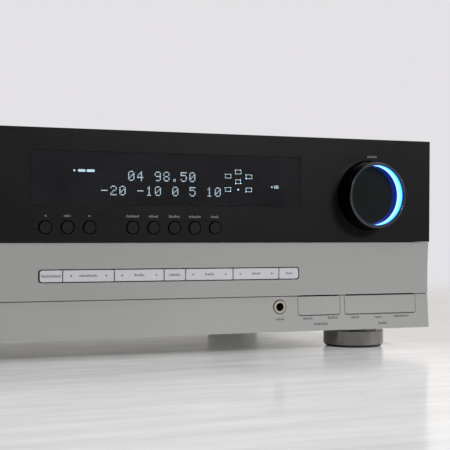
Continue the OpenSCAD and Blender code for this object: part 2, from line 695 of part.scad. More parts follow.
// A fluted screw cap round a terminal stud
module post_cap(i) {
    x = post_x + floor(i / 2) * post_pitch;
    z = POST_Z[i % 2];
    flutes = 12;
    color(i % 2 == 0 ? [0.7, 0.08, 0.08] : DARK) difference() {
        rod_y(x, cap_y, z, cap_r);
        rod_y(x, [cap_y[0] - 1, stud_end + 0.5], z, stud_r + 2 * run);
        rod_y(x, [stud_end, cap_y[1] + 1], z, 2.6);
        for (f = [0:flutes - 1]) let (a = f * 360 / flutes)
            rod_y(x + (cap_r + 0.4) * cos(a), [cap_y[0] + 2, cap_y[1] + 1], z + (cap_r + 0.4) * sin(a), 1.1);
    }
}

inlet_x = -190;
inlet_z = 42;

module power_inlet() color(DARK) {
    mouth = rear_y + 2.5;
    difference() {
        union() {
            rounded_y([inlet_x - 17, inlet_x + 17], [rear_y, mouth], [inlet_z - 13, inlet_z + 13], 3);
            rounded_y([inlet_x - 14, inlet_x + 14], [rear_y - 22, rear_y], [inlet_z - 10, inlet_z + 10], 1.5);
        }
        slab([inlet_x - 12.2, inlet_x + 12.2], [mouth - 16, mouth + 1], [inlet_z - 8.2, inlet_z + 4.5]);
        slab([inlet_x - 8.4, inlet_x + 8.4], [mouth - 16, mouth + 1], [inlet_z - 8.2, inlet_z + 8.2]);
    }
    for (blade = [[-7, -2], [0, 3], [7, -2]])
        slab([inlet_x + blade[0] - 1, inlet_x + blade[0] + 1], [mouth - 16.5, mouth - 5],
            [inlet_z + blade[1] - 2, inlet_z + blade[1] + 2]);
}

tuner_x = -60;
tuner_z = 128;

module tuner_module() color("silver") {
    difference() {
        union() {
            slab([tuner_x - 26, tuner_x + 26], [rear_y - 60, rear_y - 3], [tuner_z - 13, tuner_z + 13]);
            rounded_y([tuner_x - 16.8, tuner_x + 16.8], [rear_y - 3.1, rear_y + 1],
                [tuner_z - 6.8, tuner_z + 6.8], 1.4);
            rod_y(tuner_x + 9, [rear_y, rear_y + 11], tuner_z, 4.7);
            rod_y(tuner_x - 5, [rear_y, rear_y + 3], tuner_z, 4.5);
        }
        rod_y(tuner_x + 9, [rear_y + 2, rear_y + 12], tuner_z, 3.4);
        for (hole = [-7, -3]) rod_y(tuner_x + hole, [rear_y - 2, rear_y + 4], tuner_z, 0.9);
    }
    rod_y(tuner_x + 9, [rear_y + 1.9, rear_y + 9], tuner_z, 0.6);
    // Two posts carry the can from the chassis
    for (x = [-18, 18]) rod_z(tuner_x + x, rear_y - 30, [chassis_z + sheet, tuner_z - 12.9], 3);
}

// ---- One line for each node ----
top_cover();
cover_screws();
bottom_chassis();
rear_panel();
front_subframe();
fascia_upper();
fascia_lower();
display_window();
feet();
foot_pads();
volume_knob_ring();
volume_knob_core();
volume_light_ring();
encoder_shaft();
volume_encoder();
for (i = [0:7]) round_button(i);
for (i = [0:6]) bar_key(i);
power_button();
power_pushrod();
standby_button();
digital_input_door();
video_input_door();
headphone_jack();
front_input_jacks();
front_control_board();
vfd_display();
power_transformer();
filter_capacitors();
power_supply_board();
heatsink();
power_transistors();
amplifier_board();
main_board();
tuner_module();
rear_signal_jacks();
speaker_terminals();
power_inlet();
for (i = [0:9]) post_cap(i);
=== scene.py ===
import json
import math
import bpy
import bmesh
from mathutils import Matrix, Vector


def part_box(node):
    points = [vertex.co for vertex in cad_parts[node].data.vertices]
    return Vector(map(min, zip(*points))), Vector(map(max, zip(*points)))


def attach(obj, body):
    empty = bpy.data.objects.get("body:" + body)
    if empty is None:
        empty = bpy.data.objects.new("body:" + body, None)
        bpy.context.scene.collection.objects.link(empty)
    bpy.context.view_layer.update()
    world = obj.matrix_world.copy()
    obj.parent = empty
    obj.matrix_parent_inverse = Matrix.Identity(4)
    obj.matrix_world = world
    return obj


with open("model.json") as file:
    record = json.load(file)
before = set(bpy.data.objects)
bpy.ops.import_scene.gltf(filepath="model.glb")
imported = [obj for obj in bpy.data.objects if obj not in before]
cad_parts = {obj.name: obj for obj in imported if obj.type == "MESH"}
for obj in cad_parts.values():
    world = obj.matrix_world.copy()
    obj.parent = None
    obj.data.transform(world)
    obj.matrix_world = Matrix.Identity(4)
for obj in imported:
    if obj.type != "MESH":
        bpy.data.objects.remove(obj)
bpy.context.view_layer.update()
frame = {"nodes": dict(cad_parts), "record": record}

MM = 0.001
scene = bpy.context.scene
scene.view_settings.view_transform = "Standard"
scene.view_settings.look = "None"
scene.view_settings.exposure = 0.0
scene.view_settings.gamma = 1.0


# ---- Camera ----
yaw, pitch, roll = math.radians(25.177), math.radians(-0.070), math.radians(0.320)
eye = Vector((-0.3675, -1.0392, 0.0989))
forward = Vector((math.sin(yaw) * math.cos(pitch), math.cos(yaw) * math.cos(pitch), math.sin(pitch)))
level = Vector((math.cos(yaw), -math.sin(yaw), 0))
upright = level.cross(forward)
right = math.cos(roll) * level + math.sin(roll) * upright
up = -math.sin(roll) * level + math.cos(roll) * upright
lens = bpy.data.cameras.new("camera")
lens.lens = 102.75
lens.sensor_width = 36
lens.shift_y = -0.0012
lens.clip_start = 0.01
lens.clip_end = 50
camera = bpy.data.objects.new("camera", lens)
scene.collection.objects.link(camera)
axes = Matrix((right, up, -forward)).transposed()
camera.matrix_world = Matrix.Translation(eye) @ axes.to_4x4()
scene.camera = camera


# ---- Places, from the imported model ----
lower_lo, lower_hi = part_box("fascia_lower")
face_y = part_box("fascia_upper")[0].y
glass_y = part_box("vfd_display")[0].y
knob_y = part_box("volume_knob_ring")[0].y
rear_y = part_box("rear_panel")[1].y
split_z = lower_hi.z

# The silver panel: flat and furthest back between these heights, and coming forward above and below them
seam_z = 42.8 * MM
flat_top_z = 60 * MM
upper_rise_height = 24.5 * MM
hollow = 2.5 * MM
upper_rise = 1.1 * MM
lower_rise = 2.2 * MM
lower_rise_power = 1.3


def curve(z):
    """Depth of the silver panel's surface behind the black one."""
    if z > flat_top_z:
        return hollow - upper_rise * ((z - flat_top_z) / upper_rise_height) ** 2
    if z > seam_z:
        return hollow
    return hollow - lower_rise * ((seam_z - z) / (seam_z - lower_lo.z)) ** lower_rise_power


# Sizes inside a single CAD piece, which its box doesn't tell, in millimetres as in the CAD part
JACK_BASE = 1.5
JACK_SHELL = 8.5
JACK_PITCH = 13
TERMINALS_X = -152
TERMINAL_PITCH = 24
TERMINAL_ROWS = (64, 38)
STUD_RADIUS = 3
CAPACITORS_X = (-72, -30)
WINDING_DEPTH = 15.9


# ---- Node helpers ----
class Paint:
    """A material under construction: a Principled shader and the procedural nodes that feed it."""

    def __init__(self, name, colour, rough, metallic=0.0, **extra):
        self.material = bpy.data.materials.new(name)
        self.material.use_nodes = True
        self.tree = self.material.node_tree
        self.shader = self.tree.nodes["Principled BSDF"]
        self.where = self.node("ShaderNodeTexCoord").outputs["Object"]
        self.colour = (*colour[:3], 1.0)
        self.painted = self.colour
        self.rough = rough
        self.bump = None
        self.set("Base Color", self.colour)
        self.set("Roughness", rough)
        self.set("Metallic", metallic)
        for key, value in extra.items():
            self.set(key, value)

    def node(self, kind, **settings):
        made = self.tree.nodes.new(kind)
        for key, value in settings.items():
            setattr(made, key, value)
        return made

    def link(self, a, b):
        self.tree.links.new(a, b)

    def feed(self, value, socket):
        self.link(value, self.shader.inputs[socket])

    def set(self, socket, value):
        names = {"coat": "Coat Weight", "spec": "Specular IOR Level", "tint": "Specular Tint",
                 "alpha": "Alpha"}
        self.shader.inputs[names.get(socket, socket)].default_value = value

    def stretched(self, scale):
        mapping = self.node("ShaderNodeMapping")
        mapping.inputs["Scale"].default_value = scale
        self.link(self.where, mapping.inputs["Vector"])
        return mapping.outputs["Vector"]

    def noise(self, scale, detail=3.0, rough=0.55, stretch=(1, 1, 1)):
        made = self.node("ShaderNodeTexNoise")
        made.inputs["Scale"].default_value = scale
        made.inputs["Detail"].default_value = detail
        made.inputs["Roughness"].default_value = rough
        self.link(self.stretched(stretch), made.inputs["Vector"])
        return made.outputs["Fac"]

    def spread(self, value, low, high, start=0.3, end=0.7, smooth=False):
        """Maps a value from start..end to low..high."""
        made = self.node("ShaderNodeMapRange", interpolation_type="SMOOTHSTEP" if smooth else "LINEAR")
        self.link(value, made.inputs["Value"])
        for key, number in (("From Min", start), ("From Max", end), ("To Min", low), ("To Max", high)):
            made.inputs[key].default_value = number
        return made.outputs["Result"]

    def math(self, kind, a, b=0.0):
        made = self.node("ShaderNodeMath", operation=kind)
        for index, value in enumerate((a, b)):
            if isinstance(value, (int, float)):
                made.inputs[index].default_value = value
            else:
                self.link(value, made.inputs[index])
        return made.outputs[0]

    def axis(self, name):
        made = self.node("ShaderNodeSeparateXYZ")
        self.link(self.where, made.inputs["Vector"])
        return made.outputs[name]

    def mix(self, factor, a, b):
        """Colour a where the factor is 0, colour b where it is 1."""
        made = self.node("ShaderNodeMix", data_type="RGBA", blend_type="MIX")
        for socket, kind, value in (("Factor", "VALUE", factor), ("A", "RGBA", a), ("B", "RGBA", b)):
            target = [s for s in made.inputs if s.name == socket and s.type == kind][0]
            if isinstance(value, (int, float)):
                target.default_value = value
            elif isinstance(value, (tuple, list)):
                target.default_value = (*value[:3], 1.0)
            else:
                self.link(value, target)
        return [s for s in made.outputs if s.type == "RGBA"][0]

    def tinted(self, amount, scale, other=None, stretch=(1, 1, 1), detail=3.0):
        """Lets the colour drift between two close tones."""
        tone = other or [c * (1 + amount) for c in self.colour[:3]]
        base = [c * (1 - amount) for c in self.colour[:3]] if other is None else self.colour
        factor = self.spread(self.noise(scale, detail, stretch=stretch), 0, 1)
        self.put_colour(self.mix(factor, base, tone))
        return self

    def put_colour(self, value):
        self.painted = value
        self.feed(value, "Base Color")
        return self

    def worn(self, amount, scale, stretch=(1, 1, 1)):
        """Lets the roughness drift."""
        drift = self.noise(scale, 4.0, stretch=stretch)
        self.feed(self.spread(drift, self.rough - amount, self.rough + amount), "Roughness")
        return self

    def bumped(self, scale, depth, detail=2.0, stretch=(1, 1, 1)):
        """Adds a fine random relief, depth in millimetres."""
        return self.raised(self.noise(scale, detail, stretch=stretch), depth)

    def raised(self, height, depth):
        """Adds a relief that follows a height of 0 to 1, depth in millimetres."""
        made = self.node("ShaderNodeBump")
        made.inputs["Distance"].default_value = depth * MM
        made.inputs["Strength"].default_value = 1.0
        self.link(height, made.inputs["Height"])
        if self.bump:
            self.link(self.bump, made.inputs["Normal"])
        self.bump = made.outputs["Normal"]
        self.feed(self.bump, "Normal")
        return self

    def specks(self, scale, size, colour, share):
        """Scatters rare small specks, such as dust."""
        cells = self.node("ShaderNodeTexVoronoi", feature="F1")
        cells.inputs["Scale"].default_value = scale
        cells.inputs["Randomness"].default_value = 1.0
        self.link(self.where, cells.inputs["Vector"])
        near = self.spread(cells.outputs["Distance"], 1, 0, size * 0.5, size)
        rare = self.math("GREATER_THAN", self.noise(scale * 0.37, 1.0), 1 - share)
        self.put_colour(self.mix(self.math("MULTIPLY", near, rare), self.painted, colour))
        return self


# ---- Materials, one for each of the record's slots ----
SLOTS = {}
MOULDING = (0.012, 0.012, 0.013)


def slot(name, *args, **extra):
    SLOTS[name] = Paint(name, *args, **extra)
    return SLOTS[name]


slot("cover_steel", (0.018, 0.018, 0.020), 0.52, spec=0.4).tinted(0.06, 30).worn(0.02, 60) \
    .bumped(2600, 0.035, 2).specks(900, 0.10, (0.05, 0.05, 0.05), 0.3)
slot("black_zinc", (0.03, 0.03, 0.034), 0.32, 0.8).worn(0.1, 500).bumped(1500, 0.01)
slot("chassis_steel", (0.46, 0.47, 0.47), 0.36, 1.0).tinted(0.10, 25, (0.55, 0.54, 0.50), (1, 1, 1), 5) \
    .worn(0.12, 60).bumped(900, 0.012, 3)
slot("rear_panel_paint", (0.020, 0.020, 0.022), 0.55, spec=0.4).tinted(0.12, 40).worn(0.06, 80) \
    .bumped(2600, 0.03)
slot("subframe_plastic", (0.018, 0.018, 0.019), 0.6).tinted(0.1, 60).worn(0.06, 90).bumped(1200, 0.02)
slot("black_panel", (0.0065, 0.0065, 0.0073), 0.40, spec=0.085).tinted(0.06, 18).worn(0.04, 35) \
    .bumped(5200, 0.006, 2).specks(260, 0.05, (0.30, 0.30, 0.31), 0.42)
slot("silver_panel", (0.272, 0.270, 0.260), 0.50, 0.15, spec=0.35).tinted(0.030, 9).worn(0.035, 40) \
    .bumped(6000, 0.006, 2)
slot("foot_metal", (0.28, 0.273, 0.250), 0.11, 1.0).tinted(0.05, 60, None, (1, 1, 8)) \
    .worn(0.03, 500, (0.1, 0.1, 2)).bumped(2400, 0.002, 2, (0.06, 0.06, 1))
slot("foot_rubber", (0.010, 0.010, 0.010), 0.75).tinted(0.2, 100).worn(0.05, 200).bumped(1800, 0.03)


def knob_paint():
    """Dark anodised metal with a paler turned lip."""
    wall = (0.010, 0.010, 0.012)
    p = slot("knob_metal", wall, 0.19, 0.9)
    lip = p.spread(p.axis("Y"), 1.0, 0.0, knob_y + 0.45 * MM, knob_y + 0.60 * MM)
    tone = p.mix(p.spread(p.noise(120, 3), 0, 1), (0.090, 0.093, 0.114), (0.108, 0.112, 0.134))
    p.put_colour(p.mix(lip, wall, tone))
    p.worn(0.04, 900, (0.1, 4, 0.1)).bumped(3000, 0.005, 2, (0.05, 3, 0.05))


knob_paint()
# The blue specular tint is a painted reflection: it gives whatever the disc mirrors the blue of the light
# ring.
slot("knob_disc", (0.0115, 0.0112, 0.0030), 0.07, 0.0, spec=0.75, tint=(0.05, 0.09, 1.0, 1.0)) \
    .tinted(0.06, 60).worn(0.015, 200)
slot("bright_steel", (0.60, 0.60, 0.60), 0.27, 1.0).tinted(0.05, 80).worn(0.08, 300, (1, 8, 1)) \
    .bumped(2000, 0.006)
slot("key_plastic", (0.45, 0.45, 0.475), 0.40, 0.10).tinted(0.02, 40).worn(0.04, 90).bumped(4800, 0.005, 2)
slot("natural_plastic", (0.72, 0.72, 0.68), 0.45).tinted(0.04, 60).worn(0.05, 100).bumped(900, 0.01)
slot("black_button", (0.0065, 0.0065, 0.0073), 0.34, spec=0.14).tinted(0.06, 60).worn(0.04, 300) \
    .bumped(4200, 0.006)
slot("jack_metal", (0.74, 0.69, 0.58), 0.18, 1.0).tinted(0.06, 150).worn(0.06, 400, (1, 6, 1)) \
    .bumped(2600, 0.005)
slot("jack_plastic", MOULDING, 0.42).tinted(0.12, 90).worn(0.06, 200).bumped(1500, 0.012)


def board_paint():
    """Green lacquer with paler tracks and scattered solder pads."""
    lacquer = (0.012, 0.085, 0.030)
    p = slot("circuit_board", lacquer, 0.38, spec=0.6)
    tracks = p.node("ShaderNodeTexBrick")
    tracks.inputs["Scale"].default_value = 150
    tracks.inputs["Mortar Size"].default_value = 0.10
    tracks.inputs["Brick Width"].default_value = 0.9
    tracks.inputs["Row Height"].default_value = 0.25
    p.link(p.where, tracks.inputs["Vector"])
    line = p.math("MULTIPLY", tracks.outputs["Fac"], p.spread(p.noise(60, 2), 0, 0.6, 0.45, 0.55))
    p.put_colour(p.mix(line, lacquer, (0.035, 0.19, 0.07)))
    pads = p.node("ShaderNodeTexVoronoi", feature="F1")
    pads.inputs["Scale"].default_value = 380
    p.link(p.where, pads.inputs["Vector"])
    dot = p.spread(pads.outputs["Distance"], 1, 0, 0.16, 0.22)
    pad = p.math("MULTIPLY", dot, p.spread(p.noise(45, 1), 0, 1, 0.5, 0.52))
    p.put_colour(p.mix(pad, p.painted, (0.5, 0.5, 0.48)))
    p.worn(0.06, 200).raised(line, 0.02)


board_paint()
slot("display_glass", (0.010, 0.012, 0.014), 0.10, spec=0.5).tinted(0.1, 60).worn(0.02, 60)
slot("display_lens", (0.015, 0.015, 0.017), 0.07, spec=0.30, alpha=0.80).tinted(0.2, 25).worn(0.02, 60)


def core_paint():
    """Stacked sheets in the middle, copper winding where it stands out at the front and back."""
    p = slot("transformer_core", (0.11, 0.085, 0.07), 0.42, 0.5)
    sheets = p.node("ShaderNodeTexWave", wave_type="BANDS", bands_direction="Y")
    sheets.inputs["Scale"].default_value = 320
    sheets.inputs["Distortion"].default_value = 0.3
    p.link(p.where, sheets.inputs["Vector"])
    p.raised(sheets.outputs["Fac"], 0.12)
    lo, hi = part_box("power_transformer")
    from_middle = p.math("ABSOLUTE", p.math("SUBTRACT", p.axis("Y"), (lo.y + hi.y) / 2))
    outside = p.math("GREATER_THAN", from_middle, (hi.y - lo.y) / 2 - WINDING_DEPTH * MM)
    wire = p.spread(p.noise(300, 2, stretch=(1, 1, 6)), 0, 1)
    winding = p.mix(wire, (0.42, 0.13, 0.045), (0.55, 0.19, 0.07))
    core = p.mix(p.spread(p.noise(40), 0, 1), (0.10, 0.08, 0.065), (0.14, 0.11, 0.09))
    p.put_colour(p.mix(outside, core, winding))
    p.worn(0.1, 200)


core_paint()


def capacitor_paint():
    """Dark blue sleeves with a pale stripe down the front of each and a bare metal top."""
    sleeve = (0.010, 0.013, 0.045)
    p = slot("capacitor_sleeve", sleeve, 0.25, coat=0.3)
    lo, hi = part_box("filter_capacitors")
    top = p.math("GREATER_THAN", p.axis("Z"), hi.z - 1.5 * MM)
    front = p.math("LESS_THAN", p.axis("Y"), (lo.y + hi.y) / 2)
    x = p.axis("X")
    off = [p.math("ABSOLUTE", p.math("SUBTRACT", x, centre * MM)) for centre in CAPACITORS_X]
    stripe = p.math("LESS_THAN", p.math("MINIMUM", *off), 4 * MM)
    band = p.math("MULTIPLY", stripe, front)
    p.put_colour(p.mix(top, p.mix(band, sleeve, (0.55, 0.55, 0.52)), (0.45, 0.45, 0.46)))
    p.worn(0.06, 200).bumped(700, 0.02)


capacitor_paint()
slot("heatsink_aluminium", (0.50, 0.50, 0.52), 0.38, 1.0).tinted(0.05, 60, None, (6, 1, 1)) \
    .worn(0.08, 500, (6, 6, 0.3)).bumped(1500, 0.01, 2, (4, 4, 0.2))
slot("transistor_epoxy", (0.016, 0.016, 0.017), 0.5).tinted(0.15, 120).worn(0.06, 300).bumped(3000, 0.01)
slot("red_cap", (0.42, 0.012, 0.010), 0.25, coat=0.3).tinted(0.08, 90).worn(0.05, 400).bumped(1500, 0.008)
slot("black_cap", (0.012, 0.012, 0.012), 0.25, coat=0.3).tinted(0.12, 90).worn(0.05, 400).bumped(1500, 0.008)


def rear_jack_paint():
    """Black moulded bodies, with bright metal shells where they stand out from the rear panel."""
    p = slot("rear_jack_plastic", MOULDING, 0.4)
    shell = p.math("GREATER_THAN", p.axis("Y"), rear_y + (JACK_BASE + 0.1) * MM)
    p.put_colour(p.mix(shell, MOULDING, (0.62, 0.58, 0.50)))
    p.feed(shell, "Metallic")
    p.feed(p.spread(shell, 0.42, 0.22, 0, 1), "Roughness")
    p.bumped(1500, 0.008)


rear_jack_paint()


def terminal_paint():
    """The terminal block's black moulding, with brass studs through it."""
    p = slot("terminal_plastic", MOULDING, 0.4)
    pitch = TERMINAL_PITCH * MM
    x = p.math("SUBTRACT", p.axis("X"), TERMINALS_X * MM - pitch / 2)
    across = p.math("SUBTRACT", p.math("MODULO", x, pitch), pitch / 2)
    z = p.axis("Z")
    along = p.math("MINIMUM", *[p.math("ABSOLUTE", p.math("SUBTRACT", z, row * MM)) for row in TERMINAL_ROWS])
    gap = p.math("SQRT", p.math("ADD", p.math("MULTIPLY", across, across), p.math("MULTIPLY", along, along)))
    stud = p.math("LESS_THAN", gap, (STUD_RADIUS + 0.02) * MM)
    p.put_colour(p.mix(stud, MOULDING, (0.70, 0.52, 0.24)))
    p.feed(stud, "Metallic")
    p.bumped(1500, 0.008)


terminal_paint()


def light_paint():
    """Lit plastic: whiter where it meets the disc, cyan near the rim, with a thin unlit edge."""
    p = slot("light_ring", (0.02, 0.10, 0.30), 0.35)
    lo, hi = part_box("volume_light_ring")
    depth = p.spread(p.axis("Y"), 0, 1, lo.y, hi.y)
    body = p.mix(p.spread(depth, 0, 1, 0.12, 0.62, True), (0.045, 0.410, 1.0), (0.200, 0.450, 1.0))
    edge = p.spread(depth, 0, 1, 0.05, 0.17, True)
    p.feed(p.mix(edge, (0.0004, 0.0022, 0.035), body), "Emission Color")
    p.feed(p.spread(p.noise(70, 2), 2.7, 3.0), "Emission Strength")


light_paint()

# ---- The CAD pieces take their finish ----
# Two nodes of the slot jack_plastic are partly metal, so each has its own version of it
SPECIAL = {"rear_signal_jacks": "rear_jack_plastic", "speaker_terminals": "terminal_plastic"}
for part in frame["record"]["subparts"]:
    name = part["node"]
    chosen = SLOTS[SPECIAL.get(name, part["material_slot"])].material
    for held in frame["nodes"][name].material_slots:
        held.material = chosen


def soften(names, width, angle):
    """Rounds the sharp edges a little, as a real moulding or painted sheet has them."""
    for name in names:
        piece = frame["nodes"][name]
        weld = piece.modifiers.new("weld", "WELD")
        weld.merge_threshold = 0.002 * MM
        bevel = piece.modifiers.new("bevel", "BEVEL")
        bevel.width = width * MM
        bevel.segments = 2
        bevel.limit_method = "ANGLE"
        bevel.angle_limit = math.radians(angle)
        bevel.use_clamp_overlap = True
        bevel.harden_normals = False


soften(["fascia_upper"], 0.30, 40)
soften(["volume_knob_ring"], 0.30, 50)
soften([n for n in frame["nodes"] if n.endswith("_key")], 0.22, 40)


# ---- Printed marks ----
def join(name, parts, body, paint):
    """One mesh from flat outlines: each part is a list of corners and the push that gives it thickness."""
    mesh = bpy.data.meshes.new(name)
    bm = bmesh.new()
    for corners, push in parts:
        front = [bm.verts.new(c) for c in corners]
        back = [bm.verts.new(Vector(c) + push) for c in corners]
        bm.faces.new(front)
        bm.faces.new(back[::-1])
        count = len(corners)
        for i in range(count):
            bm.faces.new((front[(i + 1) % count], front[i], back[i], back[(i + 1) % count]))
    bmesh.ops.recalc_face_normals(bm, faces=bm.faces)
    bm.to_mesh(mesh)
    bm.free()
    piece = bpy.data.objects.new(name, mesh)
    scene.collection.objects.link(piece)
    mesh.materials.append(paint.material)
    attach(piece, body)


INK = 0.03 * MM
INK_ROOT = 0.01 * MM
FRONT_PUSH = Vector((0, INK + INK_ROOT, 0))
REAR_PUSH = -FRONT_PUSH


def on_front(x, z, depth=None):
    y = face_y + (curve(z) if z < split_z else 0.0) if depth is None else depth
    return Vector((x, y - INK, z))


def strip(x0, x1, z0, z1, depth=None):
    """A flat printed patch on the front, following its curve."""
    return ([on_front(x, z, depth) for x, z in ((x0, z0), (x1, z0), (x1, z1), (x0, z1))], FRONT_PUSH)


WIDTHS = (0.8, 0.55, 0.9, 0.6, 0.75, 0.5, 0.95, 0.65)
DASH_HEIGHT = 1.5


def runs(centre, length, gap, seed):
    """Number, left end and width of each dash of a run, in millimetres."""
    x = centre - length / 2
    i = seed
    while x < centre + length / 2 - 0.4:
        width = min(WIDTHS[i % len(WIDTHS)], centre + length / 2 - x)
        yield i, x, width
        x += width + gap
        i += 1


def dashes(centre, z, length, depth=None, seed=0):
    """A run of small plain dashes on the front that stands for a word."""
    parts = []
    low = z - DASH_HEIGHT / 2
    for i, x, width in runs(centre, length, 0.38, seed):
        tall = DASH_HEIGHT * (1.25 if (i + seed) % 4 == 0 else 0.9)
        parts.append(strip(x * MM, (x + width) * MM, low * MM, (low + tall) * MM, depth))
    return parts


def wedge(x, z, size, point, depth=None):
    """A small arrow head; point is -1 for left, 1 for right."""
    half = size / 2
    corners = ((x - point * half, z - half), (x - point * half, z + half), (x + point * half, z))
    return ([on_front(u * MM, v * MM, depth) for u, v in corners], FRONT_PUSH)


def ink(name, colour):
    return Paint(name, colour, 0.5).tinted(0.08, 400).worn(0.05, 300)


ink_dark = ink("ink_on_black", (0.10, 0.10, 0.105))
ink_silver = ink("ink_on_silver", (0.045, 0.045, 0.045))
ink_key = ink("ink_on_keys", (0.11, 0.11, 0.12))


def middle(node):
    """Centre of a CAD piece as seen from the front, in millimetres."""
    lo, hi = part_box(node)
    return (lo.x + hi.x) / 2 / MM, (lo.z + hi.z) / 2 / MM


# The labels over the round buttons: the button, the length, and the dash that it starts with
BUTTON_LABEL_Z = 103.2
BUTTON_LABELS = (("set_button", 5.5, 1), ("tone_mode_button", 9.5, 4), ("speaker_button", 8.0, 5),
                 ("channel_button", 8.5, 6), ("digital_select_button", 9.5, 7), ("delay_button", 6.5, 8))
black_marks = []
for button, length, seed in BUTTON_LABELS:
    black_marks += dashes(middle(button)[0], BUTTON_LABEL_Z, length, seed=seed)
black_marks += [wedge(middle("set_left_button")[0], BUTTON_LABEL_Z, 1.7, -1),
                wedge(middle("set_right_button")[0], BUTTON_LABEL_Z, 1.7, 1)]
black_marks += dashes(-190, 102.6, 9, seed=2)
black_marks += dashes(166, 151.3, 9.0, seed=3)
join("panel_marks_black", black_marks, "cabinet", ink_dark)

# The labels along the lower edge: centre, height and length of each
LOWER_LABELS = ((85.85, 25.9, 7.5), (110, 25.8, 9), (132.2, 25.9, 9), (121.4, 21.4, 12), (152, 25.7, 8),
                (173.2, 25.4, 6), (194.6, 25.8, 14), (177.3, 20.6, 8), (-190, 24.0, 8))
silver_marks = []
for x, z, length in LOWER_LABELS:
    silver_marks += dashes(x, z, length, seed=int(x) % 7)
join("panel_marks_silver", silver_marks, "cabinet", ink_silver)

KEYS = (("surround_mode_key", 14), ("surround_select_key", 14), ("tuning_key", 7.5), ("band_key", 9),
        ("preset_key", 7), ("source_key", 7.5), ("display_mode_key", 5))
for index, (key, length) in enumerate(KEYS):
    lo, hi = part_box(key)
    x, z = middle(key)
    marks = dashes(x, z, length, lo.y, index)
    if hi.x - lo.x > 30 * MM:
        marks += [wedge(x + point * 13.5, z, 1.8, point, lo.y) for point in (-1, 1)]
    join(key + "_mark", marks, key, ink_key)

# ---- Rear marks and insulators ----
# Each group of phono jacks: first x, first z, columns, rows, and the insulator colour of each row
WHITE, RED, YELLOW = (0.70, 0.70, 0.68), (0.50, 0.015, 0.012), (0.72, 0.50, 0.02)
GREEN, BLUE = (0.03, 0.30, 0.07), (0.02, 0.07, 0.45)
JACK_GROUPS = ((114, 30, 8, (RED, WHITE)), (44, 30, 4, (RED, WHITE)), (-24, 30, 4, (RED, WHITE)),
               (130, 74, 6, (YELLOW,)), (78, 74, 3, (RED, BLUE, GREEN)),
               (44, 74, 2, (YELLOW, YELLOW, YELLOW)), (130, 100, 6, (YELLOW,)), (-24, 74, 4, (RED,)))
FRAME_MARGIN = 7.8
PIN_RADIUS, INSULATOR_RADIUS = 1.75, 3.3
RING_STEPS = 12


def on_rear(x, z, out=0.0):
    """A point just clear of the rear panel, or of a surface that stands out from it; all in millimetres."""
    return Vector((x * MM, rear_y + out * MM + INK, z * MM))


def rear_strip(x0, x1, z0, z1):
    return ([on_rear(x, z) for x, z in ((x0, z0), (x0, z1), (x1, z1), (x1, z0))], REAR_PUSH)


def rear_frame(x0, x1, z0, z1, t=0.4):
    return [rear_strip(x0, x1, z0, z0 + t), rear_strip(x0, x1, z1 - t, z1),
            rear_strip(x0, x0 + t, z0 + t, z1 - t), rear_strip(x1 - t, x1, z0 + t, z1 - t)]


def rear_dashes(centre, z, length, seed):
    return [rear_strip(x, x + width, z - 0.8, z + 0.8) for _, x, width in runs(centre, length, 0.4, seed)]


def insulator(x, z):
    """A flat ring round a phono jack's pin hole."""
    parts = []
    for i in range(RING_STEPS):
        a, b = (2 * math.pi * k / RING_STEPS for k in (i, i + 1))
        corners = ((PIN_RADIUS, a), (INSULATOR_RADIUS, a), (INSULATOR_RADIUS, b), (PIN_RADIUS, b))
        parts.append(([on_rear(x + r * math.cos(turn), z + r * math.sin(turn), JACK_BASE + JACK_SHELL)
                       for r, turn in corners], REAR_PUSH))
    return parts


rear_marks = []
rings = {}
for index, (x0, z0, columns, rows) in enumerate(JACK_GROUPS):
    x1 = x0 + (columns - 1) * JACK_PITCH
    z1 = z0 + (len(rows) - 1) * JACK_PITCH
    rear_marks += rear_frame(x0 - FRAME_MARGIN, x1 + FRAME_MARGIN, z0 - FRAME_MARGIN, z1 + FRAME_MARGIN)
    rear_marks += rear_dashes((x0 + x1) / 2, z1 + 10.2, 5 + 2.5 * columns, index)
    for row, colour in enumerate(rows):
        for column in range(columns):
            rings.setdefault(colour, []).extend(insulator(x0 + column * JACK_PITCH, z0 + row * JACK_PITCH))
for place in range(5):
    rear_marks += rear_dashes(TERMINALS_X + TERMINAL_PITCH * place, 78.5, 8, place)
rear_marks += rear_dashes(-190, 62, 12, 3)
join("rear_marks", rear_marks, "cabinet", ink("ink_on_rear", (0.30, 0.30, 0.30)))
for index, (colour, parts) in enumerate(rings.items()):
    paint = Paint("insulator_%d" % index, colour, 0.35)
    paint.tinted(0.06, 200).worn(0.05, 400).bumped(2000, 0.004)
    join("jack_insulators_%d" % index, parts, "cabinet", paint)

# ---- Display ----
GLYPHS = {
    "0": ("01110", "10001", "10011", "10101", "11001", "10001", "01110"),
    "1": ("00100", "01100", "00100", "00100", "00100", "00100", "01110"),
    "2": ("01110", "10001", "00001", "00110", "01000", "10000", "11111"),
    "4": ("00010", "00110", "01010", "10010", "11111", "00010", "00010"),
    "5": ("11111", "10000", "11110", "00001", "00001", "10001", "01110"),
    "8": ("01110", "10001", "10001", "01110", "10001", "10001", "01110"),
    "9": ("01110", "10001", "10001", "01111", "00001", "00001", "01110"),
    "-": ("00000", "00000", "00000", "11111", "00000", "00000", "00000"),
    ".": ("00000", "00000", "00000", "00000", "00000", "01100", "01100"),
    " ": ("00000",) * 7,
}
GLYPH_ROWS = 7
DOT_PITCH = 1.0
DOT_MARGIN = 0.13
LETTER_PITCH = 6.9
dots = []


def lit(x0, x1, z0, z1):
    """A lit segment with its corners cut."""
    c = 0.22 * min(x1 - x0, z1 - z0)
    y = glass_y - 0.05 * MM
    outline = [(x0 + c, z0), (x1 - c, z0), (x1, z0 + c), (x1, z1 - c), (x1 - c, z1), (x0 + c, z1),
               (x0, z1 - c), (x0, z0 + c)]
    return ([Vector((x * MM, y, z * MM)) for x, z in outline], Vector((0, 0.03 * MM, 0)))


